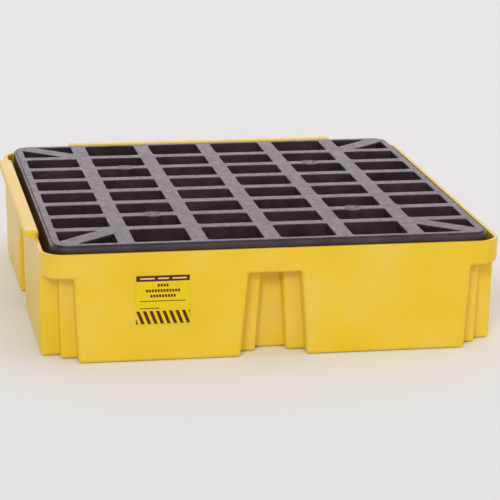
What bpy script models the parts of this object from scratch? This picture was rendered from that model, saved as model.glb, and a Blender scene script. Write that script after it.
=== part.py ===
# Spill containment pallet: a moulded sump tray, the lift-out deck grate that rests in it, four posts
# that carry the grate on the sump floor, their pegs, and a label. Metres, +Z up, floor at z = 0.
import bpy
import bmesh
from math import atan2, cos, radians, sin
from mathutils import Matrix, Vector

MM = 0.001
TOUCH_GAP = 0.3 * MM          # left between pieces that rest on each other
OVERRUN = 20 * MM             # how far a cutter runs past what it cuts

# Sump
SUMP_WIDTH = 646 * MM         # over the walls, along X, at the rim
SUMP_DEPTH = 660 * MM         # over the walls, along Y, at the rim
RIM_HEIGHT = 155 * MM
WALL = 6 * MM
FLOOR_THICKNESS = 5 * MM
DRAFT = 3 * MM                # how far each wall leans in from rim to floor
CORNER_RADIUS = 34 * MM
CORNER_STEPS = 6              # facets in each rounded corner of the sump
FLOOR_ROUND = 7 * MM

# Linking lips, on the left and back sides
LIP_THICKNESS = 10 * MM
LEFT_LIP_LENGTH = 458 * MM
BACK_LIP_LENGTH = 432 * MM
LIP_OVERHANG = 13 * MM        # outside the wall
LIP_REACH = 7 * MM            # over the rim, from the wall's outer face
LIP_CORNER = 5 * MM
LIP_EDGE_ROUND = 3.5 * MM

# Recesses that leave ledges under the grate: a shallow step and a deep step, mid-side and at
# corners. Each is given its width at the top and at the floor, because they flare downwards.
LEDGE_HEIGHT = 126 * MM       # top of the ledges inside the sump
SHALLOW_SETBACK = 25 * MM
DEEP_SETBACK = 43 * MM
RECESS_WIDTHS = (74 * MM, 94 * MM)
RECESS_CORE_WIDTHS = (28 * MM, 44 * MM)
NOTCH_WIDTHS = (45 * MM, 51 * MM)
NOTCH_CORE_WIDTHS = (26 * MM, 29 * MM)

# Deck grate
DECK_HEIGHT = 165 * MM
SIDE_CLEARANCE = 10 * MM      # grate to the sump's left and right walls
FRONT_CLEARANCE = 3 * MM      # grate to the front and back walls
DECK_CORNER_RADIUS = 25 * MM
DECK_STEP = 2.4 * MM          # the top panel stands this far above the edge bead
DECK_LEDGE = 3.5 * MM
DECK_EDGE_ROUND = 2.5 * MM
BORDER = 10 * MM              # solid frame of the top panel around the slots
COLUMNS = 6
ROWS = 8
WIDE_RIB = 23.4 * MM          # ribs that run front to back
CROSS_RIB = 20 * MM
END_ROW_EXTRA = 13 * MM       # the front and back rows are longer by this much
DIAGONAL_RIB = 29 * MM
SLOT_CORNER = 4.5 * MM
RIB_SKIN = 4.2 * MM           # moulded thickness around the hollow under each rib

# Posts and pegs
POST_RADIUS = 15 * MM
POST_WALL = 3.5 * MM
POST_CAP = 6 * MM
POST_ROW = 2                  # cross ribs away from the centre one
POST_COLUMN = 1.5             # column pitches away from the centre rib
POST_SHIFT = 6.4 * MM         # towards the centre from there
PEG_HEAD_RADIUS = 10 * MM
PEG_HEAD_THICKNESS = 3 * MM
PEG_HEAD_ROUND = 0.5 * MM
PEG_GROOVE_WIDTH = 2 * MM     # ring pressed into the head
PEG_GROOVE_DEPTH = 0.8 * MM
PEG_RADIUS = 6 * MM
PEG_BARB = 1.4 * MM
PEG_BARB_LENGTH = 9 * MM
PEG_CLEARANCE = 0.4 * MM

# Label
LABEL_WIDTH = 74 * MM
LABEL_HEIGHT = 70 * MM
LABEL_THICKNESS = 0.5 * MM
LABEL_CORNER = 3 * MM
LABEL_X = -156.5 * MM         # from the sump's middle
LABEL_BOTTOM = 52.6 * MM

ARC = radians(15)             # step of round outlines

# Places that follow from the sizes above. The origin is under the middle of the whole outline,
# which the two lips push off the middle of the walls.
CENTRE = Vector((LIP_OVERHANG / 2, -LIP_OVERHANG / 2, 0))
HALF_X = SUMP_WIDTH / 2
HALF_Y = SUMP_DEPTH / 2
DECK_HALF_X = HALF_X - WALL - SIDE_CLEARANCE
DECK_HALF_Y = HALF_Y - WALL - FRONT_CLEARANCE
PANEL_HALF_X = DECK_HALF_X - DECK_LEDGE
PANEL_HALF_Y = DECK_HALF_Y - DECK_LEDGE
FIELD_HALF_X = PANEL_HALF_X - BORDER
FIELD_HALF_Y = PANEL_HALF_Y - BORDER
SLOT_X = (2 * FIELD_HALF_X - (COLUMNS - 1) * WIDE_RIB) / COLUMNS
SLOT_Y = (2 * FIELD_HALF_Y - (ROWS - 1) * CROSS_RIB - 2 * END_ROW_EXTRA) / ROWS
PITCH_X = SLOT_X + WIDE_RIB
PITCH_Y = SLOT_Y + CROSS_RIB
DECK_BOTTOM = LEDGE_HEIGHT + TOUCH_GAP
POST_X = POST_COLUMN * PITCH_X - POST_SHIFT
POST_Y = POST_ROW * PITCH_Y
POST_TOP = DECK_BOTTOM - TOUCH_GAP
POST_PLACES = {
    "front_left": (-POST_X, -POST_Y),
    "front_right": (POST_X, -POST_Y),
    "back_left": (-POST_X, POST_Y),
    "back_right": (POST_X, POST_Y),
}


def clear_scene():
    for item in list(bpy.data.objects):
        bpy.data.objects.remove(item, do_unlink=True)


def new_collection(name):
    group = bpy.data.collections.new(name)
    bpy.context.scene.collection.children.link(group)
    return group


def new_material(name, colour, roughness):
    material = bpy.data.materials.new(name)
    material.use_nodes = True
    shader = material.node_tree.nodes["Principled BSDF"]
    shader.inputs["Base Color"].default_value = (*colour, 1)
    shader.inputs["Roughness"].default_value = roughness
    shader.inputs["Metallic"].default_value = 0
    return material


def new_object(name, solid, group, place=CENTRE):
    # Turns a bmesh into an object whose origin is at the given place.
    bmesh.ops.recalc_face_normals(solid, faces=solid.faces)
    mesh = bpy.data.meshes.new(name)
    solid.to_mesh(mesh)
    solid.free()
    item = bpy.data.objects.new(name, mesh)
    item.location = place
    group.objects.link(item)
    return item


def new_cutter(name, solid, place=CENTRE):
    item = new_object(name, solid, cutters, place)
    item.hide_render = True
    item.display_type = "WIRE"
    return item


def cut(item, cutter):
    boolean = item.modifiers.new("cut " + cutter.name, "BOOLEAN")
    boolean.operation = "DIFFERENCE"
    boolean.solver = "EXACT"
    boolean.object = cutter


def join(item, other):
    boolean = item.modifiers.new("join " + other.name, "BOOLEAN")
    boolean.operation = "UNION"
    boolean.solver = "EXACT"
    boolean.object = other


def box(solid, low, high, lean=(0, 0), corner=0.0, steps=1):
    # A box between two corners. Its foot is smaller than its top by lean on each side, and its
    # upright edges are rounded. Returns its vertices.
    low, high = Vector(low), Vector(high)
    verts = bmesh.ops.create_cube(solid, size=1)["verts"]
    for vert in verts:
        foot = vert.co.z < 0
        side = Vector((1 if vert.co.x > 0 else -1, 1 if vert.co.y > 0 else -1))
        vert.co = (low + high) / 2 + vert.co * (high - low)
        if foot:
            vert.co.x -= side.x * lean[0]
            vert.co.y -= side.y * lean[1]
    if corner:
        upright = {
            edge for vert in verts for edge in vert.link_edges
            if abs(edge.verts[0].co.z - edge.verts[1].co.z) > (high.z - low.z) / 2
        }
        made = bmesh.ops.bevel(solid, geom=list(upright), offset=corner, offset_type="OFFSET",
                               segments=steps, profile=0.5, affect="EDGES")
        corners = {vert for face in made["faces"] for vert in face.verts}
        verts = list({vert for vert in verts if vert.is_valid} | corners)
    return verts


def round_level(solid, level, radius, steps):
    # Rounds every edge that lies at one height.
    edges = [edge for edge in solid.edges
             if all(abs(vert.co.z - level) < 1e-6 for vert in edge.verts)]
    bmesh.ops.bevel(solid, geom=edges, offset=radius, offset_type="OFFSET", segments=steps,
                    profile=0.5, affect="EDGES")


def cylinder(solid, radius, low, high, place=(0, 0)):
    # An upright cylinder between two heights.
    middle = Matrix.Translation((*place, (low + high) / 2))
    bmesh.ops.create_cone(solid, cap_ends=True, segments=round(radians(360) / ARC), radius1=radius,
                          radius2=radius, depth=high - low, matrix=middle)


def tray_block(inset, bottom, top, corner):
    # A block that follows the sump's leaning walls, inset from their outer face.
    lean = DRAFT * (top - bottom) / RIM_HEIGHT
    past = DRAFT * (top - RIM_HEIGHT) / RIM_HEIGHT
    half = (HALF_X - inset + past, HALF_Y - inset + past)
    solid = bmesh.new()
    box(solid, (-half[0], -half[1], bottom), (*half, top), (lean, lean), corner, CORNER_STEPS)
    return solid


def side_recess(solid, turn, half, widths, setback, top):
    # One step of a mid-side recess, made at the front and turned to its side. Its back wall leans
    # like the sump's wall.
    lean = DRAFT * (top + OVERRUN) / RIM_HEIGHT
    drop = DRAFT * (RIM_HEIGHT - top) / RIM_HEIGHT
    flare = (widths[1] - widths[0]) / 2 * (top + OVERRUN) / top
    verts = box(solid, (-widths[0] / 2, -half - OVERRUN, -OVERRUN),
                (widths[0] / 2, -half + drop + setback, top), (-flare, 0))
    for vert in verts:
        if vert.co.z < 0 and vert.co.y > -half:
            vert.co.y += lean
    bmesh.ops.rotate(solid, verts=verts, cent=(0, 0, 0), matrix=Matrix.Rotation(turn, 3, "Z"))


def corner_notch(solid, sign_x, sign_y, widths, setback, top):
    # One step of a corner notch, open to the front or back and through the side.
    lean = DRAFT * (top + OVERRUN) / RIM_HEIGHT
    drop = DRAFT * (RIM_HEIGHT - top) / RIM_HEIGHT
    flare = (widths[1] - widths[0]) * (top + OVERRUN) / top
    near = (HALF_X - widths[0]) * sign_x
    far = (HALF_X + OVERRUN) * sign_x
    back = (HALF_Y - drop - setback) * sign_y
    out = (HALF_Y + OVERRUN) * sign_y
    verts = box(solid, (min(near, far), min(back, out), -OVERRUN),
                (max(near, far), max(back, out), top))
    for vert in verts:
        if vert.co.z < 0:
            if abs(vert.co.x) < HALF_X:
                vert.co.x -= flare * sign_x
            if abs(vert.co.y) < HALF_Y:
                vert.co.y -= lean * sign_y


def recesses(name, sides, notches, setback, skin):
    # All eight recesses of one step, grown by a skin where they shape the inside of the sump.
    top = LEDGE_HEIGHT - WALL + skin
    solid = bmesh.new()
    for quarter in range(4):
        half = (HALF_Y, HALF_X)[quarter % 2]
        side_recess(solid, radians(90) * quarter, half, [width + 2 * skin for width in sides],
                    setback + skin, top)
    for sign_x in (-1, 1):
        for sign_y in (-1, 1):
            corner_notch(solid, sign_x, sign_y, [width + skin for width in notches], setback + skin, top)
    return new_cutter(name, solid)


def lip(name, low, high):
    solid = bmesh.new()
    box(solid, (*low, RIM_HEIGHT), (*high, RIM_HEIGHT + LIP_THICKNESS), corner=LIP_CORNER, steps=2)
    round_level(solid, RIM_HEIGHT + LIP_THICKNESS, LIP_EDGE_ROUND, 2)
    return new_cutter(name, solid)


def build_sump():
    solid = tray_block(0, 0, RIM_HEIGHT, CORNER_RADIUS)
    round_level(solid, 0, FLOOR_ROUND, 2)
    sump = new_object("spill_sump", solid, parts)

    inner = tray_block(WALL, FLOOR_THICKNESS, RIM_HEIGHT + OVERRUN, CORNER_RADIUS - WALL)
    cavity = new_cutter("cavity", inner)
    cut(cavity, recesses("shallow_inside", RECESS_WIDTHS, NOTCH_WIDTHS, SHALLOW_SETBACK, WALL))
    cut(cavity, recesses("deep_inside", RECESS_CORE_WIDTHS, NOTCH_CORE_WIDTHS, DEEP_SETBACK, WALL))

    cut(sump, recesses("shallow_outside", RECESS_WIDTHS, NOTCH_WIDTHS, SHALLOW_SETBACK, 0))
    cut(sump, recesses("deep_outside", RECESS_CORE_WIDTHS, NOTCH_CORE_WIDTHS, DEEP_SETBACK, 0))
    cut(sump, cavity)
    outer_x, outer_y = HALF_X + LIP_OVERHANG, HALF_Y + LIP_OVERHANG
    join(sump, lip("left_lip", (-outer_x, -LEFT_LIP_LENGTH / 2), (LIP_REACH - HALF_X, LEFT_LIP_LENGTH / 2)))
    join(sump, lip("back_lip", (-BACK_LIP_LENGTH / 2, HALF_Y - LIP_REACH), (BACK_LIP_LENGTH / 2, outer_y)))
    return sump


def slot_rows():
    # Low and high edge of each row of slots, front to back.
    edge = -FIELD_HALF_Y
    for row in range(ROWS):
        length = SLOT_Y + (END_ROW_EXTRA if row in (0, ROWS - 1) else 0)
        yield edge, edge + length
        edge += length + CROSS_RIB


def slot_columns():
    for column in range(COLUMNS):
        edge = -FIELD_HALF_X + column * PITCH_X
        yield edge, edge + SLOT_X


def slot_cutter():
    low, high = DECK_BOTTOM - OVERRUN, DECK_HEIGHT + OVERRUN
    solid = bmesh.new()
    for front, back in slot_rows():
        for left, right in slot_columns():
            box(solid, (left, front, low), (right, back, high), corner=SLOT_CORNER, steps=2)
    slots = new_cutter("slots", solid)
    cut(slots, diagonal_ribs(low - OVERRUN, high + OVERRUN))
    cut(slots, boss_keepers("slot_bosses", low - OVERRUN, high + OVERRUN))
    return slots


def diagonal_ribs(low, high):
    # Four bars, each from an outer corner of the panel to the first crossing of ribs.
    reach = Vector((SLOT_X + BORDER + WIDE_RIB / 2, SLOT_Y + END_ROW_EXTRA + BORDER + CROSS_RIB / 2))
    turn = atan2(reach.y, reach.x)
    solid = bmesh.new()
    for sign_x in (-1, 1):
        for sign_y in (-1, 1):
            verts = box(solid, (0, -DIAGONAL_RIB / 2, low), (reach.length, DIAGONAL_RIB / 2, high))
            angle = atan2(-sign_y * sin(turn), -sign_x * cos(turn))
            bmesh.ops.rotate(solid, verts=verts, cent=(0, 0, 0), matrix=Matrix.Rotation(angle, 3, "Z"))
            bmesh.ops.translate(solid, verts=verts, vec=(sign_x * PANEL_HALF_X, sign_y * PANEL_HALF_Y, 0))
    return new_cutter("diagonal_ribs", solid)


def boss_keepers(name, low, high):
    solid = bmesh.new()
    for place in POST_PLACES.values():
        cylinder(solid, POST_RADIUS, low, high, place)
    return new_cutter(name, solid)


def rib_hollow(name, boxes):
    # Channels under the ribs, closed by the deck's top skin and kept clear of the bosses.
    low, high = DECK_BOTTOM - OVERRUN, DECK_HEIGHT - RIB_SKIN
    solid = bmesh.new()
    for left, front, right, back in boxes:
        box(solid, (left, front, low), (right, back, high))
    hollow = new_cutter(name, solid)
    cut(hollow, boss_keepers(name + "_bosses", low - OVERRUN, high + OVERRUN))
    return hollow


def build_deck():
    bead_top = DECK_HEIGHT - DECK_STEP
    body = bmesh.new()
    box(body, (-DECK_HALF_X, -DECK_HALF_Y, DECK_BOTTOM), (DECK_HALF_X, DECK_HALF_Y, bead_top),
        corner=DECK_CORNER_RADIUS, steps=4)
    round_level(body, bead_top, DECK_EDGE_ROUND, 2)
    deck = new_object("deck_grate", body, parts)
    panel = bmesh.new()
    box(panel, (-PANEL_HALF_X, -PANEL_HALF_Y, bead_top - DECK_STEP),
        (PANEL_HALF_X, PANEL_HALF_Y, DECK_HEIGHT), corner=DECK_CORNER_RADIUS - DECK_LEDGE, steps=4)
    join(deck, new_cutter("top_panel", panel))
    cut(deck, slot_cutter())
    half_wide = WIDE_RIB / 2 - RIB_SKIN
    half_cross = CROSS_RIB / 2 - RIB_SKIN
    far_x = FIELD_HALF_X - RIB_SKIN
    far_y = FIELD_HALF_Y - RIB_SKIN
    long_ribs = [(left - WIDE_RIB / 2 - half_wide, -far_y, left - WIDE_RIB / 2 + half_wide, far_y)
                 for left, _ in list(slot_columns())[1:]]
    cross_ribs = [(-far_x, front - CROSS_RIB / 2 - half_cross, far_x, front - CROSS_RIB / 2 + half_cross)
                  for front, _ in list(slot_rows())[1:]]
    cut(deck, rib_hollow("long_hollows", long_ribs))
    cut(deck, rib_hollow("cross_hollows", cross_ribs))

    seats = bmesh.new()
    holes = bmesh.new()
    for place in POST_PLACES.values():
        seat_floor = DECK_HEIGHT - PEG_HEAD_THICKNESS - TOUCH_GAP
        cylinder(seats, PEG_HEAD_RADIUS + PEG_CLEARANCE, seat_floor, DECK_HEIGHT + OVERRUN, place)
        cylinder(holes, PEG_RADIUS + PEG_CLEARANCE, DECK_BOTTOM - OVERRUN, DECK_HEIGHT + OVERRUN, place)
    cut(deck, new_cutter("peg_seats", seats))
    cut(deck, new_cutter("peg_holes", holes))
    return deck


def turned(name, profile, group, place):
    # A turned solid from a profile of (radius, height) points, top to bottom.
    solid = bmesh.new()
    verts = [solid.verts.new((radius, 0, height)) for radius, height in profile]
    for upper, lower in zip(verts, verts[1:]):
        solid.edges.new((upper, lower))
    mesh = bpy.data.meshes.new(name)
    solid.to_mesh(mesh)
    solid.free()
    item = bpy.data.objects.new(name, mesh)
    item.location = place
    group.objects.link(item)
    screw = item.modifiers.new("turn", "SCREW")
    screw.steps = screw.render_steps = round(radians(360) / ARC)
    screw.use_merge_vertices = True
    screw.merge_threshold = 0.01 * MM
    screw.use_smooth_shade = True
    return item


def build_post(side, place):
    # A tube that stands on the sump floor and is closed at the top, with a hole for the peg.
    foot = FLOOR_THICKNESS + TOUCH_GAP
    bore = POST_RADIUS - POST_WALL
    hole = PEG_RADIUS + PEG_CLEARANCE
    under_cap = POST_TOP - POST_CAP
    ring = [(hole, POST_TOP), (POST_RADIUS, POST_TOP), (POST_RADIUS, foot), (bore, foot),
            (bore, under_cap), (hole, under_cap), (hole, POST_TOP)]
    return turned("support_post_" + side, ring, parts, CENTRE + Vector((*place, 0)))


def build_peg(side, place):
    # A push-in peg: head in the deck's seat, shank through the boss, barb under the post's cap.
    head = DECK_HEIGHT - PEG_HEAD_THICKNESS
    catch = POST_TOP - POST_CAP - TOUCH_GAP
    groove = PEG_HEAD_RADIUS / 2
    outer = groove + PEG_GROOVE_WIDTH
    slope = PEG_GROOVE_WIDTH / 5
    tip = catch - PEG_BARB_LENGTH
    profile = [(0, DECK_HEIGHT), (groove, DECK_HEIGHT), (groove + slope, DECK_HEIGHT - PEG_GROOVE_DEPTH),
               (outer - slope, DECK_HEIGHT - PEG_GROOVE_DEPTH), (outer, DECK_HEIGHT),
               (PEG_HEAD_RADIUS - PEG_HEAD_ROUND, DECK_HEIGHT),
               (PEG_HEAD_RADIUS, DECK_HEIGHT - PEG_HEAD_ROUND),
               (PEG_HEAD_RADIUS, head), (PEG_RADIUS, head), (PEG_RADIUS, catch),
               (PEG_RADIUS + PEG_BARB, catch - PEG_BARB), (PEG_RADIUS - PEG_BARB, tip), (0, tip)]
    return turned("post_peg_" + side, profile, parts, CENTRE + Vector((*place, 0)))


def build_label():
    # A thin panel just off the front wall, leaning with it.
    lean = atan2(DRAFT, RIM_HEIGHT)
    solid = bmesh.new()
    verts = box(solid, (-LABEL_WIDTH / 2, 0, -LABEL_HEIGHT / 2),
                (LABEL_WIDTH / 2, LABEL_THICKNESS, LABEL_HEIGHT / 2))
    edges = {edge for vert in verts for edge in vert.link_edges
             if abs(edge.verts[0].co.y - edge.verts[1].co.y) > LABEL_THICKNESS / 2}
    bmesh.ops.bevel(solid, geom=list(edges), offset=LABEL_CORNER, offset_type="OFFSET", segments=3,
                    profile=0.5, affect="EDGES")
    middle = LABEL_BOTTOM + LABEL_HEIGHT / 2
    wall_y = -HALF_Y + DRAFT * (RIM_HEIGHT - middle) / RIM_HEIGHT
    place = CENTRE + Vector((LABEL_X, wall_y - TOUCH_GAP - LABEL_THICKNESS, middle))
    label = new_object("info_label", solid, parts, place)
    label.rotation_euler.x = lean
    return label


clear_scene()
parts = new_collection("spill_containment_pallet")
cutters = new_collection("cutters")
build_sump().data.materials.append(new_material("yellow polyethylene", (0.86, 0.55, 0.04), 0.45))
build_deck().data.materials.append(new_material("black polyethylene", (0.05, 0.045, 0.05), 0.5))
post_plastic = new_material("black post plastic", (0.04, 0.04, 0.042), 0.55)
peg_plastic = new_material("black peg plastic", (0.06, 0.055, 0.06), 0.45)
for post_side, post_place in POST_PLACES.items():
    build_post(post_side, post_place).data.materials.append(post_plastic)
    build_peg(post_side, post_place).data.materials.append(peg_plastic)
build_label().data.materials.append(new_material("printed vinyl", (0.83, 0.66, 0.02), 0.35))
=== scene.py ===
from math import atan2, cos, pi, radians, sin

import bpy
from mathutils import Matrix, Vector


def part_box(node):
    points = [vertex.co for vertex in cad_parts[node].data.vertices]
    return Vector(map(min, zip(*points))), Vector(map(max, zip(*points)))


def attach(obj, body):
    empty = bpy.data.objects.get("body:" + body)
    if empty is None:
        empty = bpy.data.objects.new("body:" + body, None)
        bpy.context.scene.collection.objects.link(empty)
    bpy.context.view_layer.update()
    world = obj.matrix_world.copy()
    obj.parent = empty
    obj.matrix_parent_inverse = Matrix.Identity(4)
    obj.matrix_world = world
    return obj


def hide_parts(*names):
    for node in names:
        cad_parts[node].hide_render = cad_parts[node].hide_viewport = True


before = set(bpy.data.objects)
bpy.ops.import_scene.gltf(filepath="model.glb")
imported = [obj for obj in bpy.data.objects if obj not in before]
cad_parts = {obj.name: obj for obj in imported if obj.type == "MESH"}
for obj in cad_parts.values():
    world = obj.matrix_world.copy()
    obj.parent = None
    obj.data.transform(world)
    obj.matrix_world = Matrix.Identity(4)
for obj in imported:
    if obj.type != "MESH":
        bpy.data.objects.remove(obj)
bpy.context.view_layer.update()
mm = 0.001  # everything in the dictionaries below is in millimetres
hair = 0.01 * mm  # points closer than this count as one


def linear(hexColour):
    # sRGB hex to the linear colour that the shaders want
    def channel(pair):
        value = int(pair, 16) / 255
        return value / 12.92 if value <= 0.04045 else ((value + 0.055) / 1.055) ** 2.4
    return (*(channel(hexColour[i:i + 2]) for i in (0, 2, 4)), 1)


def addNode(tree, kind, settings=None, links=None):
    # settings go on the node's sockets or on the node itself, links name the socket that each takes from
    node = tree.nodes.new(kind)
    for key, value in (settings or {}).items():
        if key in node.inputs:
            node.inputs[key].default_value = value
        else:
            setattr(node, key, value)
    for key, source in (links or {}).items():
        tree.links.new(source, node.inputs[key])
    return node


def setRamp(node, stops):
    ramp = node.color_ramp
    while len(ramp.elements) < len(stops):
        ramp.elements.new(0.5)
    for element, (place, colour) in zip(ramp.elements, stops):
        element.position = place
        element.color = colour


def deselectAll():
    if bpy.context.mode != "OBJECT":
        bpy.ops.object.mode_set(mode="OBJECT")
    bpy.ops.object.select_all(action="DESELECT")


def activate(piece):
    deselectAll()
    piece.select_set(True)
    bpy.context.view_layer.objects.active = piece


def addBlock(name, low, high):
    deselectAll()
    low, high = Vector(low), Vector(high)
    bpy.ops.mesh.primitive_cube_add(size=1, location=(low + high) / 2, scale=high - low)
    piece = bpy.context.object
    piece.name = name
    bpy.ops.object.transform_apply(location=True, rotation=True, scale=True)
    return piece


def addRod(name, radius, low, high, place, sides=48):
    deselectAll()
    middle = (*place, (low + high) / 2)
    bpy.ops.mesh.primitive_cylinder_add(vertices=sides, radius=radius, depth=high - low, location=middle)
    piece = bpy.context.object
    piece.name = name
    bpy.ops.object.transform_apply(location=True, rotation=True, scale=True)
    return piece


def pick(piece, kind, test, sharp=None):
    # selects the vertices, edges or faces whose points all pass a test, and stays in edit mode
    activate(piece)
    bpy.ops.object.mode_set(mode="EDIT")
    bpy.ops.mesh.select_mode(type=kind)
    bpy.ops.mesh.select_all(action="DESELECT")
    if sharp:
        bpy.ops.mesh.edges_select_sharp(sharpness=radians(sharp))
    bpy.ops.object.mode_set(mode="OBJECT")
    mesh = piece.data
    items = {"VERT": mesh.vertices, "EDGE": mesh.edges, "FACE": mesh.polygons}[kind]
    wanted = []
    for item in items:
        points = [item.co] if kind == "VERT" else [mesh.vertices[i].co for i in item.vertices]
        wanted.append(all(test(point) for point in points) and (item.select or not sharp))
    for group in (mesh.vertices, mesh.edges, mesh.polygons):
        group.foreach_set("select", [False] * len(group))
    items.foreach_set("select", wanted)
    bpy.ops.object.mode_set(mode="EDIT")


def roundEdges(piece, test, radius, segments, sharp=30):
    pick(piece, "EDGE", test, sharp)
    bpy.ops.mesh.bevel(offset=radius, segments=segments, affect="EDGES", offset_type="OFFSET")
    deselectAll()


def roundUprights(piece, radius, segments):
    # rounds the four standing edges of a fresh block
    activate(piece)
    mesh = piece.data
    bpy.ops.object.mode_set(mode="EDIT")
    bpy.ops.mesh.select_mode(type="EDGE")
    bpy.ops.mesh.select_all(action="DESELECT")
    bpy.ops.object.mode_set(mode="OBJECT")
    tall = max(vert.co.z for vert in mesh.vertices) - min(vert.co.z for vert in mesh.vertices)
    for edge in mesh.edges:
        ends = [mesh.vertices[i].co for i in edge.vertices]
        edge.select = abs(ends[0].z - ends[1].z) > tall / 2
    bpy.ops.object.mode_set(mode="EDIT")
    bpy.ops.mesh.bevel(offset=radius, segments=segments, affect="EDGES", offset_type="OFFSET")
    deselectAll()


def applyModifier(piece, kind, **settings):
    activate(piece)
    modifier = piece.modifiers.new(kind.lower(), kind)
    for key, value in settings.items():
        setattr(modifier, key, value)
    bpy.ops.object.modifier_apply(modifier=modifier.name)


def combine(piece, tool, how="DIFFERENCE"):
    applyModifier(piece, "BOOLEAN", operation=how, solver="EXACT", object=tool)
    bpy.data.objects.remove(tool)


def joinAll(name, pieces):
    deselectAll()
    for piece in pieces:
        piece.select_set(True)
    bpy.context.view_layer.objects.active = pieces[0]
    if len(pieces) > 1:
        bpy.ops.object.join()
    joined = bpy.context.object
    joined.name = name
    return joined


def duplicate(piece, offset):
    activate(piece)
    bpy.ops.object.duplicate(linked=False)
    copy = bpy.context.object
    copy.location = offset
    bpy.ops.object.transform_apply(location=True, rotation=False, scale=False)
    return copy


smoothUnder = 35  # degrees between faces that are shaded as one surface
flatWeight = 60  # how far large flat faces hold their own normals


def finishPiece(piece, body, material, replaced=()):
    activate(piece)
    bpy.ops.object.mode_set(mode="EDIT")
    bpy.ops.mesh.select_all(action="SELECT")
    bpy.ops.mesh.remove_doubles(threshold=hair)
    bpy.ops.mesh.normals_make_consistent(inside=False)
    bpy.ops.object.mode_set(mode="OBJECT")
    bpy.ops.object.transform_apply(location=True, rotation=True, scale=True)
    bpy.ops.object.shade_smooth_by_angle(angle=radians(smoothUnder))
    applyModifier(piece, "WEIGHTED_NORMAL", keep_sharp=True, weight=flatWeight)
    piece.data.materials.clear()
    piece.data.materials.append(material)
    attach(piece, body)
    if replaced:
        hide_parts(*replaced)


# Rotomoulded polyethylene, safety yellow: cast against a blasted steel mould, so a soft satin skin
# with a faint orange peel, broad low waves from cooling, and slightly uneven colour.
rotomoulded = {"yellow": "EBC723", "palerYellow": "EBCB48", "deeperYellow": "E7C30C",
               "patch": 90, "wave": 120, "waveDepth": 6, "peel": 1.6, "peelDepth": 0.25, "scuff": 14,
              "roughness": (0.26, 0.4)}


def makeRotomouldedYellow():
    material = bpy.data.materials.new("rotomouldedYellowPolyethylene")
    material.use_nodes = True
    tree = material.node_tree
    shader = tree.nodes["Principled BSDF"]
    shader.inputs["IOR"].default_value = 1.5
    shader.inputs["Metallic"].default_value = 0
    place = addNode(tree, "ShaderNodeTexCoord").outputs["Object"]
    patch = addNode(tree, "ShaderNodeTexNoise", {"Scale": 1 / (rotomoulded["patch"] * mm), "Detail": 2.0,
                                                 "Roughness": 0.5}, {"Vector": place})
    colour = addNode(tree, "ShaderNodeValToRGB", {}, {"Fac": patch.outputs["Fac"]})
    setRamp(colour, [(0.3, linear(rotomoulded["deeperYellow"])), (0.5, linear(rotomoulded["yellow"])),
                     (0.72, linear(rotomoulded["palerYellow"]))])
    tree.links.new(colour.outputs["Color"], shader.inputs["Base Color"])
    scuff = addNode(tree, "ShaderNodeTexNoise", {"Scale": 1 / (rotomoulded["scuff"] * mm), "Detail": 5.0,
                                                 "Roughness": 0.65}, {"Vector": place})
    low, high = rotomoulded["roughness"]
    gloss = addNode(tree, "ShaderNodeMapRange", {"From Min": 0.3, "From Max": 0.75, "To Min": low,
                                                 "To Max": high}, {"Value": scuff.outputs["Fac"]})
    tree.links.new(gloss.outputs["Result"], shader.inputs["Roughness"])
    wave = addNode(tree, "ShaderNodeTexNoise", {"Scale": 1 / (rotomoulded["wave"] * mm), "Detail": 1.0},
                   {"Vector": place})
    peel = addNode(tree, "ShaderNodeTexNoise", {"Scale": 1 / (rotomoulded["peel"] * mm), "Detail": 2.0},
                   {"Vector": place})
    broad = addNode(tree, "ShaderNodeBump", {"Strength": 0.35, "Distance": rotomoulded["waveDepth"] * mm},
                    {"Height": wave.outputs["Fac"]})
    fine = addNode(tree, "ShaderNodeBump", {"Strength": 0.12, "Distance": rotomoulded["peelDepth"] * mm},
                   {"Height": peel.outputs["Fac"], "Normal": broad.outputs["Normal"]})
    tree.links.new(fine.outputs["Normal"], shader.inputs["Normal"])
    return material


# Injection moulded polyethylene with carbon black: a fine moulded grain, flow marks in the gloss,
# and a light dusty bloom on what is handled and walked on.
mouldedBlack = {"black": "2E2227", "bloom": "493C42", "patch": 45, "grain": 1.1, "grainDepth": 0.2, "flow": 8,
                "roughness": (0.3, 0.44)}
# Extruded black pipe plastic: drawn through a die, so plainer and evener than the moulded pieces.
pipeBlack = {"black": "242325", "bloom": "343234", "patch": 30, "grain": 2, "grainDepth": 0.2, "flow": 20,
             "roughness": (0.4, 0.5)}
# Moulded black nylon: a harder, slightly shinier skin with a grain finer than the grate's.
nylonBlack = {"black": "3A3034", "bloom": "5C5056", "patch": 12, "grain": 0.8, "grainDepth": 0.2, "flow": 5,
              "roughness": (0.28, 0.4)}


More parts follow.
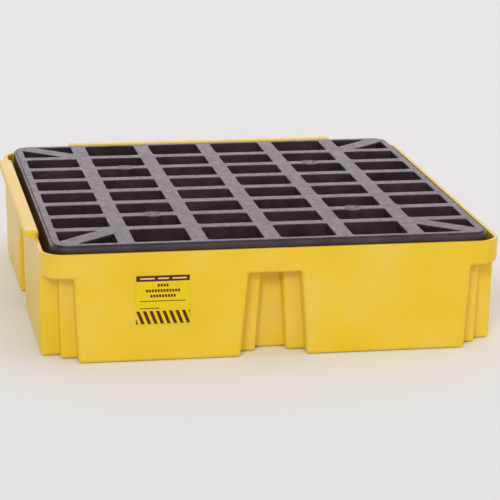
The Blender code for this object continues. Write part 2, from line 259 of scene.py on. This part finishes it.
def makeBlackPlastic(name, look):
    material = bpy.data.materials.new(name)
    material.use_nodes = True
    tree = material.node_tree
    shader = tree.nodes["Principled BSDF"]
    shader.inputs["IOR"].default_value = 1.5
    shader.inputs["Metallic"].default_value = 0
    place = addNode(tree, "ShaderNodeTexCoord").outputs["Object"]
    patch = addNode(tree, "ShaderNodeTexNoise", {"Scale": 1 / (look["patch"] * mm), "Detail": 6.0,
                                                 "Roughness": 0.6}, {"Vector": place})
    colour = addNode(tree, "ShaderNodeValToRGB", {}, {"Fac": patch.outputs["Fac"]})
    setRamp(colour, [(0.35, linear(look["black"])), (0.75, linear(look["bloom"]))])
    tree.links.new(colour.outputs["Color"], shader.inputs["Base Color"])
    flow = addNode(tree, "ShaderNodeTexNoise", {"Scale": 1 / (look["flow"] * mm), "Detail": 4.0},
                   {"Vector": place})
    low, high = look["roughness"]
    gloss = addNode(tree, "ShaderNodeMapRange", {"From Min": 0.3, "From Max": 0.7, "To Min": low,
                                                 "To Max": high}, {"Value": flow.outputs["Fac"]})
    tree.links.new(gloss.outputs["Result"], shader.inputs["Roughness"])
    grain = addNode(tree, "ShaderNodeTexNoise", {"Scale": 1 / (look["grain"] * mm), "Detail": 3.0},
                    {"Vector": place})
    bump = addNode(tree, "ShaderNodeBump", {"Strength": 0.25, "Distance": look["grainDepth"] * mm},
                   {"Height": grain.outputs["Fac"]})
    tree.links.new(bump.outputs["Normal"], shader.inputs["Normal"])
    return material


# Calendered vinyl film with screen-printed ink: even colour, a smooth low sheen, a faint ripple.
printedVinyl = {"film": "E8CF10", "ink": "5A2A0C", "pale": "E4C9A0", "ripple": 9, "rippleDepth": 0.3,
                "shade": 0.94}


def makePrintedVinyl(name, colourHex, roughness):
    material = bpy.data.materials.new(name)
    material.use_nodes = True
    tree = material.node_tree
    shader = tree.nodes["Principled BSDF"]
    shader.inputs["IOR"].default_value = 1.5
    shader.inputs["Specular IOR Level"].default_value = 0.2
    shader.inputs["Metallic"].default_value = 0
    shader.inputs["Roughness"].default_value = roughness
    place = addNode(tree, "ShaderNodeTexCoord").outputs["Object"]
    ripple = addNode(tree, "ShaderNodeTexNoise", {"Scale": 1 / (printedVinyl["ripple"] * mm), "Detail": 2.0},
                     {"Vector": place})
    colour = addNode(tree, "ShaderNodeValToRGB", {}, {"Fac": ripple.outputs["Fac"]})
    base = linear(colourHex)
    setRamp(colour, [(0.3, (*(printedVinyl["shade"] * part for part in base[:3]), 1)), (0.7, base)])
    tree.links.new(colour.outputs["Color"], shader.inputs["Base Color"])
    bump = addNode(tree, "ShaderNodeBump", {"Strength": 0.1, "Distance": printedVinyl["rippleDepth"] * mm},
                   {"Height": ripple.outputs["Fac"]})
    tree.links.new(bump.outputs["Normal"], shader.inputs["Normal"])
    return material


sumpPlastic = makeRotomouldedYellow()
gratePlastic = makeBlackPlastic("mouldedBlackPolyethylene", mouldedBlack)
postPlastic = makeBlackPlastic("extrudedBlackPipePlastic", pipeBlack)
pegPlastic = makeBlackPlastic("mouldedBlackNylon", nylonBlack)
labelFilm = makePrintedVinyl("yellowVinylFilm", printedVinyl["film"], 0.38)
labelInk = makePrintedVinyl("brownScreenInk", printedVinyl["ink"], 0.45)
labelPale = makePrintedVinyl("paleScreenInk", printedVinyl["pale"], 0.45)
print("materials made")

# The sump tray. Widths of recesses are given at the top and at the floor, because they flare down.
sumpTray = {"wall": 6, "floor": 5, "lean": 3, "cornerRadius": 34, "rim": 155, "lipThickness": 10,
            "leftLipLength": 458, "backLipLength": 432, "lipOverhang": 13, "lipReach": 7, "lipCorner": 5,
            "ledge": 126, "outerRound": 5, "innerRound": 3, "rimRound": 1.6, "lipRound": 4}
recessSteps = ({"sides": (74, 94), "corners": (45, 51), "setback": 25},
               {"sides": (28, 44), "corners": (26, 29), "setback": 43})
lowest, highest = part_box("spill_sump")
over = sumpTray["lipOverhang"] * mm
halfX = (highest.x - lowest.x - over) / 2
halfY = (highest.y - lowest.y - over) / 2
centre = Vector((lowest.x + over + halfX, lowest.y + halfY, 0))
rim = sumpTray["rim"] * mm
past = 20 * mm  # how far a cutting tool runs past the surface


def traySolid(name, inset, bottom, top):
    # a block that follows the leaning walls, inset from their outer face
    half = Vector((halfX - inset, halfY - inset))
    block = addBlock(name, (-half.x, -half.y, bottom), (half.x, half.y, top))
    for level in (bottom, top):
        pick(block, "VERT", lambda point: abs(point.z - level) < hair)
        shift = sumpTray["lean"] * mm * (level - rim) / rim
        bpy.ops.transform.resize(value=(1 + shift / half.x, 1 + shift / half.y, 1), center_override=(0, 0, 0))
        deselectAll()
    roundUprights(block, sumpTray["cornerRadius"] * mm - inset, 14)
    block.location = centre
    activate(block)
    bpy.ops.object.transform_apply(location=True, rotation=False, scale=False)
    return block


def lengthenDown(tool):
    pick(tool, "FACE", lambda point: point.z < hair)
    bpy.ops.mesh.extrude_region_move(TRANSFORM_OT_translate={"value": (0, 0, -past)})
    deselectAll()


def recessTool(quarter, step, skin):
    # one step of a mid-side recess, made at the front and turned to its side
    half = (halfY, halfX)[quarter % 2]
    lean = sumpTray["lean"] * mm
    top = (sumpTray["ledge"] - sumpTray["wall"]) * mm + skin
    back = -half + lean * (rim - top) / rim + step["setback"] * mm + skin
    topWidth, footWidth = (width * mm / 2 + skin for width in step["sides"])
    tool = addBlock("recessTool", (-topWidth, -half - past, 0), (topWidth, back, top))
    pick(tool, "VERT", lambda point: point.z < hair)
    bpy.ops.transform.resize(value=(footWidth / topWidth, 1, 1), center_override=(0, 0, 0))
    pick(tool, "VERT", lambda point: point.z < hair and point.y > -half)
    bpy.ops.transform.translate(value=(0, lean * top / rim, 0))
    lengthenDown(tool)
    tool.rotation_euler.z = radians(90) * quarter
    tool.location = centre
    return tool


def notchTool(signX, signY, step, skin):
    # one step of a corner notch, open to the front or back and through the side
    lean = sumpTray["lean"] * mm
    topWidth, footWidth = (width * mm + skin for width in step["corners"])
    top = (sumpTray["ledge"] - sumpTray["wall"]) * mm + skin
    back = halfY - lean * (rim - top) / rim - step["setback"] * mm - skin
    xs = sorted(((halfX - topWidth) * signX, (halfX + past) * signX))
    ys = sorted((back * signY, (halfY + past) * signY))
    tool = addBlock("notchTool", (xs[0], ys[0], 0), (xs[1], ys[1], top))
    pick(tool, "VERT", lambda point: point.z < hair and abs(point.y) < halfY)
    bpy.ops.transform.translate(value=(0, -signY * lean * top / rim, 0))
    pick(tool, "VERT", lambda point: point.z < hair and abs(point.x) < halfX)
    bpy.ops.transform.translate(value=(signX * (topWidth - footWidth), 0, 0))
    lengthenDown(tool)
    tool.location = centre
    return tool


def carveRecesses(block, skin):
    for step in recessSteps:
        for quarter in range(4):
            combine(block, recessTool(quarter, step, skin))
        for signX in (-1, 1):
            for signY in (-1, 1):
                combine(block, notchTool(signX, signY, step, skin))


def makeLip(name, low, high):
    bar = addBlock(name, (*low, rim), (*high, rim + sumpTray["lipThickness"] * mm))
    roundUprights(bar, sumpTray["lipCorner"] * mm, 5)
    middle = rim + sumpTray["lipThickness"] * mm / 2
    roundEdges(bar, lambda point: point.z > middle, sumpTray["lipRound"] * mm, 4, sharp=60)
    bar.location = centre
    return bar


def makeSump():
    tray = traySolid("sumpTray", 0, 0, rim)
    carveRecesses(tray, 0)
    roundEdges(tray, lambda point: point.z < rim - mm, sumpTray["outerRound"] * mm, 4, sharp=35)
    print("sump outside carved", len(tray.data.polygons))
    wall = sumpTray["wall"] * mm
    hollow = traySolid("sumpHollow", wall, sumpTray["floor"] * mm, rim + past)
    carveRecesses(hollow, wall)
    roundEdges(hollow, lambda point: point.z < rim, sumpTray["innerRound"] * mm, 3, sharp=35)
    combine(tray, hollow)
    roundEdges(tray, lambda point: abs(point.z - rim) < hair, sumpTray["rimRound"] * mm, 3, sharp=40)
    print("sump hollowed", len(tray.data.polygons))
    reach = sumpTray["lipReach"] * mm
    left, back = sumpTray["leftLipLength"] * mm / 2, sumpTray["backLipLength"] * mm / 2
    combine(tray, makeLip("leftLip", (-halfX - over, -left), (reach - halfX, left)), "UNION")
    combine(tray, makeLip("backLip", (-back, halfY - reach), (back, halfY + over)), "UNION")
    finishPiece(tray, "sump", sumpPlastic, ["spill_sump"])
    print("sump done", len(tray.data.polygons))


# The deck grate: a ribbed panel inside a rounded bead, slotted between wide and narrow ribs
deckGrate = {"step": 2.4, "ledge": 3.5, "beadRound": 2.4, "cornerRadius": 25, "border": 10, "columns": 6,
             "rows": 8, "wideRib": 23.4, "crossRib": 20, "endRowExtra": 13, "diagonalRib": 29,
             "slotCorner": 5, "edgeRound": 1.2, "skin": 4.2, "splitCorner": 2.5,
             "panelRoot": 5, "bossRadius": 15, "pegSeat": 10.4,
             "pegSeatDepth": 3.3, "pegHole": 6.4}
deckLow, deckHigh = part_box("deck_grate")
deckTop = deckHigh.z
deckBottom = deckLow.z
beadTop = deckTop - deckGrate["step"] * mm
panelHalf = Vector((deckHigh.x - centre.x, deckHigh.y - centre.y)) - Vector((1, 1)) * deckGrate["ledge"] * mm
fieldHalf = panelHalf - Vector((1, 1)) * deckGrate["border"] * mm
wideRib = deckGrate["wideRib"] * mm
crossRib = deckGrate["crossRib"] * mm
endExtra = deckGrate["endRowExtra"] * mm
slotX = (2 * fieldHalf.x - (deckGrate["columns"] - 1) * wideRib) / deckGrate["columns"]
slotY = (2 * fieldHalf.y - (deckGrate["rows"] - 1) * crossRib - 2 * endExtra) / deckGrate["rows"]
postNames = ("front_left", "front_right", "back_left", "back_right")
postPlaces = []
for name in postNames:
    postLow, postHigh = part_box("support_post_" + name)
    postPlaces.append(((postLow + postHigh) / 2).xy)


def bossRods(low, high):
    return joinAll("bossRods", [addRod("bossRod", deckGrate["bossRadius"] * mm, low, high, place, 40)
                                for place in postPlaces])


def slotTool(left, front, width, length):
    tool = addBlock("slotTool", (left, front, deckBottom - past),
                    (left + width, front + length, deckTop + past))
    roundUprights(tool, deckGrate["slotCorner"] * mm, 4)
    return tool


def cornerTool(signX, signY):
    # the two triangles that a diagonal rib leaves of a corner slot
    low = Vector((fieldHalf.x - slotX, fieldHalf.y - slotY - endExtra))
    xs = sorted((low.x * signX, fieldHalf.x * signX))
    ys = sorted((low.y * signY, fieldHalf.y * signY))
    tool = addBlock("cornerTool", (xs[0], ys[0], deckBottom - past), (xs[1], ys[1], deckTop + past))
    inner = low - Vector((wideRib, crossRib)) / 2
    run = panelHalf - inner
    rib = deckGrate["diagonalRib"] * mm
    bar = addBlock("diagonalBar", (0, -rib / 2, deckBottom - 2 * past),
                   (run.length, rib / 2, deckTop + 2 * past))
    bar.rotation_euler.z = atan2(run.y * signY, run.x * signX)
    bar.location = (inner.x * signX, inner.y * signY, 0)
    combine(tool, bar)
    roundUprights(tool, deckGrate["splitCorner"] * mm, 3)
    tool.location = centre
    activate(tool)
    bpy.ops.object.transform_apply(location=True, rotation=False, scale=False)
    return tool


def makeSlots():
    tools = []
    front = centre.y - fieldHalf.y
    for row in range(deckGrate["rows"]):
        isEnd = row in (0, deckGrate["rows"] - 1)
        length = slotY + (endExtra if isEnd else 0)
        columns = range(1, deckGrate["columns"] - 1) if isEnd else range(deckGrate["columns"])
        first = None
        for column in columns:
            offset = column * (slotX + wideRib)
            if first is None:
                first = slotTool(centre.x - fieldHalf.x + offset, front, slotX, length)
                start = offset
                tools.append(first)
            else:
                tools.append(duplicate(first, (offset - start, 0, 0)))
        front += length + crossRib
    for signX in (-1, 1):
        for signY in (-1, 1):
            tools.append(cornerTool(signX, signY))
    slots = joinAll("slots", tools)
    combine(slots, bossRods(deckBottom - 2 * past, deckTop + 2 * past))
    return slots


def ribHollows(alongY):
    # the channels under the ribs, kept clear of the bosses
    skin = deckGrate["skin"] * mm
    tools = []
    top = deckTop - skin
    if alongY:
        half = wideRib / 2 - skin
        for column in range(1, deckGrate["columns"]):
            x = centre.x - fieldHalf.x + column * (slotX + wideRib) - wideRib / 2
            tools.append(addBlock("hollow", (x - half, centre.y - fieldHalf.y + skin, deckBottom - past),
                                  (x + half, centre.y + fieldHalf.y - skin, top)))
    else:
        half = crossRib / 2 - skin
        for row in range(1, deckGrate["rows"]):
            y = centre.y - fieldHalf.y + endExtra + row * (slotY + crossRib) - crossRib / 2
            tools.append(addBlock("hollow", (centre.x - fieldHalf.x + skin, y - half, deckBottom - past),
                                  (centre.x + fieldHalf.x - skin, y + half, top)))
    hollows = joinAll("hollows", tools)
    combine(hollows, bossRods(deckBottom - 2 * past, deckTop + past))
    return hollows


def makeDeck():
    deck = addBlock("deckGrate", deckLow, (deckHigh.x, deckHigh.y, beadTop))
    roundUprights(deck, deckGrate["cornerRadius"] * mm, 12)
    roundEdges(deck, lambda point: point.z > beadTop - hair, deckGrate["beadRound"] * mm, 5, sharp=60)
    panelFoot = beadTop - deckGrate["panelRoot"] * mm
    panel = addBlock("topPanel", (centre.x - panelHalf.x, centre.y - panelHalf.y, panelFoot),
                     (centre.x + panelHalf.x, centre.y + panelHalf.y, deckTop))
    roundUprights(panel, (deckGrate["cornerRadius"] - deckGrate["ledge"]) * mm, 12)
    combine(deck, panel, "UNION")
    combine(deck, makeSlots())
    print("deck slotted", len(deck.data.polygons))
    combine(deck, ribHollows(True))
    combine(deck, ribHollows(False))
    for place in postPlaces:
        combine(deck, addRod("pegSeat", deckGrate["pegSeat"] * mm, deckTop - deckGrate["pegSeatDepth"] * mm,
                             deckTop + past, place))
        combine(deck, addRod("pegHole", deckGrate["pegHole"] * mm, deckBottom - past, deckTop + past, place))
    roundEdges(deck, lambda point: point.z > deckTop - hair, deckGrate["edgeRound"] * mm, 3, sharp=60)
    finishPiece(deck, "grate", gratePlastic, ["deck_grate"])
    print("deck done", len(deck.data.polygons))


# Push-in pegs, turned from a half profile, and the pipe posts under them
pegShape = {"head": 10, "headDepth": 3, "shank": 6, "ringIn": 5, "ringOut": 7.4, "ringDepth": 0.9,
            "dimple": 2, "dimpleDepth": 0.7, "round": 0.7, "barb": 1.4,
            "ringSlope": 0.4, "barbLength": 9}


def spinProfile(name, points, place, steps=48):
    # points are (radius, height) from the axis at the top, down the outside, to the axis at the bottom
    deselectAll()
    bpy.ops.mesh.primitive_plane_add(size=1, location=(0, 0, 0))
    piece = bpy.context.object
    piece.name = name
    bpy.ops.object.mode_set(mode="EDIT")
    bpy.ops.mesh.select_mode(type="VERT")
    bpy.ops.mesh.select_all(action="SELECT")
    bpy.ops.mesh.merge(type="CENTER")
    bpy.ops.transform.translate(value=(points[0][0], 0, points[0][1]))
    for before, after in zip(points, points[1:]):
        step = (after[0] - before[0], 0, after[1] - before[1])
        bpy.ops.mesh.extrude_region_move(TRANSFORM_OT_translate={"value": step})
    bpy.ops.mesh.select_all(action="SELECT")
    bpy.ops.mesh.spin(steps=steps, angle=2 * pi, center=(0, 0, 0), axis=(0, 0, 1), use_auto_merge=True)
    bpy.ops.mesh.select_all(action="SELECT")
    bpy.ops.mesh.remove_doubles(threshold=hair / 2)
    bpy.ops.mesh.normals_make_consistent(inside=False)
    bpy.ops.object.mode_set(mode="OBJECT")
    piece.location = (*place, 0)
    return piece


def makePeg(name, place):
    low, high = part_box("post_peg_" + name)
    top, tip = high.z, low.z
    head, shank = pegShape["head"] * mm, pegShape["shank"] * mm
    under = top - pegShape["headDepth"] * mm
    soft = pegShape["round"] * mm
    ringIn, ringOut, ringDepth = (pegShape[key] * mm for key in ("ringIn", "ringOut", "ringDepth"))
    catch = tip + pegShape["barbLength"] * mm
    slope = pegShape["ringSlope"] * mm
    barb = pegShape["barb"] * mm
    points = [(0, top - pegShape["dimpleDepth"] * mm), (pegShape["dimple"] * mm, top), (ringIn, top),
              (ringIn + slope, top - ringDepth), (ringOut - slope, top - ringDepth), (ringOut, top)]
    points += [(head - soft + soft * sin(turn), top - soft + soft * cos(turn))
               for turn in (radians(step * 22.5) for step in range(5))]
    points += [(head, under), (shank, under), (shank, catch), (shank + barb, catch - barb),
               (shank - barb, tip), (0, tip)]
    peg = spinProfile("postPeg_" + name, points, place)
    finishPiece(peg, "grate", pegPlastic, ["post_peg_" + name])


postShape = {"wall": 3.5, "cap": 6, "hole": 6.4, "round": 1}


def makePost(name, place):
    low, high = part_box("support_post_" + name)
    radius = (high.x - low.x) / 2
    soft = postShape["round"] * mm
    bore = radius - postShape["wall"] * mm
    hole = postShape["hole"] * mm
    underCap = high.z - postShape["cap"] * mm
    points = [(hole, high.z), (radius - soft, high.z), (radius, high.z - soft), (radius, low.z + soft),
              (radius - soft, low.z), (bore, low.z), (bore, underCap), (hole, underCap), (hole, high.z)]
    post = spinProfile("supportPost_" + name, points, place)
    finishPiece(post, "grate", postPlastic, ["support_post_" + name])


# The label: a film with rounded corners, and print that is plain blocks, lines and stripes only.
# Lines are (middle from the top, number of blocks, height), small lines (top, left, width, height),
# marks (left, width).
labelPrint = {"corner": 3, "ink": 0.07, "band": 8, "lines": ((13.9, 4, 3.8), (21.6, 12, 4), (29, 9, 4)),
              "block": 2.9, "blockPitch": 4,
              "smallLines": ((35.8, 5, 64, 1.1), (46, 5, 27, 1.1)), "stripeTop": 50.3, "stripeHeight": 18.6,
              "stripe": 4.8, "stripePitch": 9, "stripeLean": 7.3, "sink": 0.05,
              "bandInset": 0.2, "marks": ((5.5, 20), (30, 15), (50, 19.5)), "markTop": 3.1, "markHeight": 2.1,
              "markDepth": 1.8, "windowDepth": 5}


def makeLabel():
    low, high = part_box("info_label")
    lean = atan2(sumpTray["lean"], sumpTray["rim"])
    height = (high.z - low.z) / cos(lean)
    width = high.x - low.x
    middle = (low + high) / 2
    thick = (high.y - low.y - height * sin(lean))

    def place(piece):
        # turns a flat part built around the origin onto the leaning wall
        piece.rotation_euler.x = lean
        piece.location = middle
        activate(piece)
        bpy.ops.object.transform_apply(location=True, rotation=True, scale=False)

    def bar(left, top, wide, tall, depth=1.0):
        # measured from the label's top left corner
        ink = labelPrint["ink"] * mm * depth
        return addBlock("bar", (left - width / 2, -thick / 2 - ink, height / 2 - top - tall),
                        (left - width / 2 + wide, -thick / 2 + labelPrint["sink"] * mm, height / 2 - top))

    film = addBlock("labelFilm", (-width / 2, -thick / 2, -height / 2), (width / 2, thick / 2, height / 2))
    activate(film)
    bpy.ops.transform.rotate(value=radians(90), orient_axis="X", center_override=(0, 0, 0))
    bpy.ops.object.transform_apply(location=True, rotation=True, scale=True)
    roundUprights(film, labelPrint["corner"] * mm, 5)
    activate(film)
    bpy.ops.transform.rotate(value=radians(-90), orient_axis="X", center_override=(0, 0, 0))
    bpy.ops.object.transform_apply(location=True, rotation=True, scale=True)
    place(film)
    finishPiece(film, "sump", labelFilm, ["info_label"])

    inset = labelPrint["bandInset"] * mm
    band = bar(inset, inset, width - 2 * inset, labelPrint["band"] * mm)
    inks = [band]
    block, blockPitch = labelPrint["block"] * mm, labelPrint["blockPitch"] * mm
    for top, blocks, tall in labelPrint["lines"]:
        start = (width - (blocks - 1) * blockPitch - block) / 2
        for step in range(blocks):
            inks.append(bar(start + step * blockPitch, (top - tall / 2) * mm, block, tall * mm))
    for top, left, wide, tall in labelPrint["smallLines"]:
        inks.append(bar(left * mm, top * mm, wide * mm, tall * mm))
    pitch = labelPrint["stripePitch"] * mm
    depth = labelPrint["windowDepth"] * mm
    tall = labelPrint["stripeHeight"] * mm
    for step in range(-1, int(width / pitch) + 1):
        left = step * pitch
        stripe = bar(left, labelPrint["stripeTop"] * mm, labelPrint["stripe"] * mm, tall)
        pick(stripe, "VERT", lambda point: point.z < height / 2 - labelPrint["stripeTop"] * mm - tall / 2)
        bpy.ops.transform.translate(value=(labelPrint["stripeLean"] * mm, 0, 0))
        deselectAll()
        window = addBlock("window", (-width / 2, -depth, -height / 2), (width / 2, depth, height / 2))
        combine(stripe, window, "INTERSECT")
        inks.append(stripe)
    printed = joinAll("labelPrint", inks)
    place(printed)
    finishPiece(printed, "sump", labelInk)

    marks = [bar(left * mm, labelPrint["markTop"] * mm, wide * mm, labelPrint["markHeight"] * mm,
                 labelPrint["markDepth"]) for left, wide in labelPrint["marks"]]
    pale = joinAll("labelBandMarks", marks)
    place(pale)
    finishPiece(pale, "sump", labelPale)
    print("label done")


makeSump()
makeDeck()
for name, place in zip(postNames, postPlaces):
    makePeg(name, place)
    makePost(name, place)
print("posts and pegs done")
makeLabel()

# Studio: a pale floor, a sky that is dimmer on the left and brighter low down behind the object,
# and a soft key from the front left. Bands are the two heights or sides between which the sky changes.
studio = {"floor": "F2F6F2", "floorSize": 40, "floorShift": 4, "floorDrop": 0.3, "floorRoughness": 0.9,
          "floorSpecular": 0.1, "sky": "FFF6FD", "horizon": 0.9, "zenith": 0.85, "heightBand": (0.1, 0.8),
          "leftDim": 0.45, "leftBand": (-0.9, 0.1), "back": 0.7, "backBand": (0.75, 0.97), "key": 0.9,
          "keyAzimuth": -24, "keyHeight": 32, "keySoftness": 14}


def makeStudio():
    deselectAll()
    bpy.ops.mesh.primitive_plane_add(size=studio["floorSize"],
                                     location=(0, studio["floorShift"], -studio["floorDrop"] * mm))
    floor = bpy.context.object
    floor.name = "studioFloor"
    paint = bpy.data.materials.new("paleFloorPaint")
    paint.use_nodes = True
    shader = paint.node_tree.nodes["Principled BSDF"]
    shader.inputs["Base Color"].default_value = linear(studio["floor"])
    shader.inputs["Roughness"].default_value = studio["floorRoughness"]
    shader.inputs["Specular IOR Level"].default_value = studio["floorSpecular"]
    floor.data.materials.append(paint)

    world = bpy.data.worlds.new("softSky")
    bpy.context.scene.world = world
    world.use_nodes = True
    tree = world.node_tree
    place = addNode(tree, "ShaderNodeTexCoord").outputs["Generated"]
    way = addNode(tree, "ShaderNodeSeparateXYZ", {}, {"Vector": place}).outputs

    def skyBand(low, high, start, end, socket):
        return addNode(tree, "ShaderNodeMapRange", {"From Min": low, "From Max": high, "To Min": start,
                                                    "To Max": end}, {"Value": socket}).outputs["Result"]

    glow = skyBand(*studio["heightBand"], studio["horizon"], studio["zenith"], way["Z"])
    side = skyBand(*studio["leftBand"], studio["leftDim"], 1.0, way["X"])
    back = skyBand(*studio["backBand"], 0.0, studio["back"], way["Y"])
    front = addNode(tree, "ShaderNodeMath", {"operation": "MULTIPLY"}, {0: glow, 1: side})
    total = addNode(tree, "ShaderNodeMath", {"operation": "ADD"}, {0: front.outputs["Value"], 1: back})
    tree.links.new(total.outputs["Value"], tree.nodes["Background"].inputs["Strength"])
    tree.nodes["Background"].inputs["Color"].default_value = linear(studio["sky"])

    deselectAll()
    bpy.ops.object.light_add(type="SUN", location=(0, 0, 3))
    key = bpy.context.object
    key.name = "softKey"
    key.data.energy = studio["key"]
    key.data.angle = radians(studio["keySoftness"])
    key.rotation_euler = (radians(90 - studio["keyHeight"]), 0, radians(studio["keyAzimuth"]))


cameraSetup = {"azimuth": -10.475, "elevation": 14.742, "roll": 0.718, "distance": 3.1772,
               "aim": (-0.0377, -0.3775, 0.165), "lens": 169.5, "sensor": 36, "clipEnd": 100}


def makeCamera():
    deselectAll()
    bpy.ops.object.camera_add(location=(0, 0, 0))
    camera = bpy.context.object
    camera.name = "productCamera"
    camera.data.lens = cameraSetup["lens"]
    camera.data.sensor_width = cameraSetup["sensor"]
    camera.data.clip_end = cameraSetup["clipEnd"]
    turn = (Matrix.Rotation(radians(cameraSetup["azimuth"]), 4, "Z")
            @ Matrix.Rotation(radians(90 - cameraSetup["elevation"]), 4, "X")
            @ Matrix.Rotation(radians(cameraSetup["roll"]), 4, "Z"))
    back = turn @ Vector((0, 0, cameraSetup["distance"]))
    camera.matrix_world = Matrix.Translation(Vector(cameraSetup["aim"]) + back) @ turn
    bpy.context.scene.camera = camera


makeStudio()
makeCamera()
bpy.context.scene.view_settings.view_transform = "Standard"
print("studio and camera ready")
